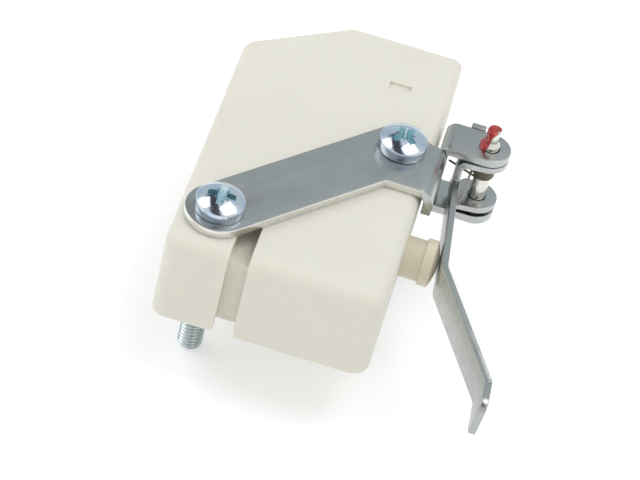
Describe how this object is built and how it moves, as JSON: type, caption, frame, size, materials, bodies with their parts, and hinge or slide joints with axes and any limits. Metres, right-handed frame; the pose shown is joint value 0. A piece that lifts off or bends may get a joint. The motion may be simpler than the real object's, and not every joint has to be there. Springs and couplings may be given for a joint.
{
  "type": "lever micro switch",
  "caption": "Snap-action micro switch: ivory moulded housing, screwed-on steel plate with hinge ears, cranked sheet-metal lever on a side plunger, two long screws.",
  "frame": {"origin": "on the rear mounting face, midway between the two mounting screws", "axes": "+Z out of the front face, +X towards the plunger side, +Y up the face away from the lever's tip"},
  "size_m": [0.054, 0.0725, 0.0336],
  "materials": {
    "ivory_plastic": "satin moulded",
    "beige_plastic": "satin moulded",
    "zinc_plate": "bright zinc plated sheet",
    "bright_steel": "bright zinc plated",
    "spring_steel": "drawn wire",
    "brass": "stamped strip",
    "silver": "contact rivet"
  },
  "bodies": {
    "switch": {"housing": "ivory_plastic", "rear_cover": "ivory_plastic", "plunger_spring": "spring_steel", "mounting_plate": "zinc_plate", "hinge_pin": "bright_steel", "lever_spring": "spring_steel", "mounting_screw_left": "bright_steel", "mounting_screw_right": "bright_steel", "terminal_common": "brass", "terminal_normally_open": "brass", "terminal_normally_closed": "brass", "contact_normally_open": "silver", "contact_normally_closed": "silver", "snap_spring": "spring_steel", "terminal_screw_common": "bright_steel", "terminal_screw_open": "bright_steel", "terminal_screw_closed": "bright_steel", "clamp_common": "bright_steel", "clamp_open": "bright_steel", "clamp_closed": "bright_steel"},
    "lever": {"lever": "zinc_plate"},
    "plunger": {"plunger": "beige_plastic"},
    "contact_arm": {"contact_blade": "brass", "moving_contact": "silver"}
  },
  "joints": [
    {"name": "lever_hinge", "type": "hinge", "parent": "switch", "child": "lever", "pos_m": [0.0252, 0.0192, 0.011], "axis": [0, 0, -1], "range_deg": [0, 5.5], "stiffness_Nm_per_rad": 0.5, "springref_deg": -8.59, "deforming": ["lever_spring"]},
    {"name": "plunger_slide", "type": "slide", "parent": "switch", "child": "plunger", "axis": [-1, 0, 0], "range_m": [0, 0.0019], "deforming": ["plunger_spring"]},
    {"name": "contact_rock", "type": "hinge", "parent": "switch", "child": "contact_arm", "pos_m": [0.005, -0.01615, 0.0082], "axis": [0, 0, 1], "range_deg": [0, 3.1], "deforming": ["snap_spring"]}
  ],
  "couplings": [
    {"joint": "plunger_slide", "follows": "lever_hinge", "m_per_rad": 0.0192},
    {"joint": "contact_rock", "follows": "lever_hinge", "ratio": 0.545}
  ]
}
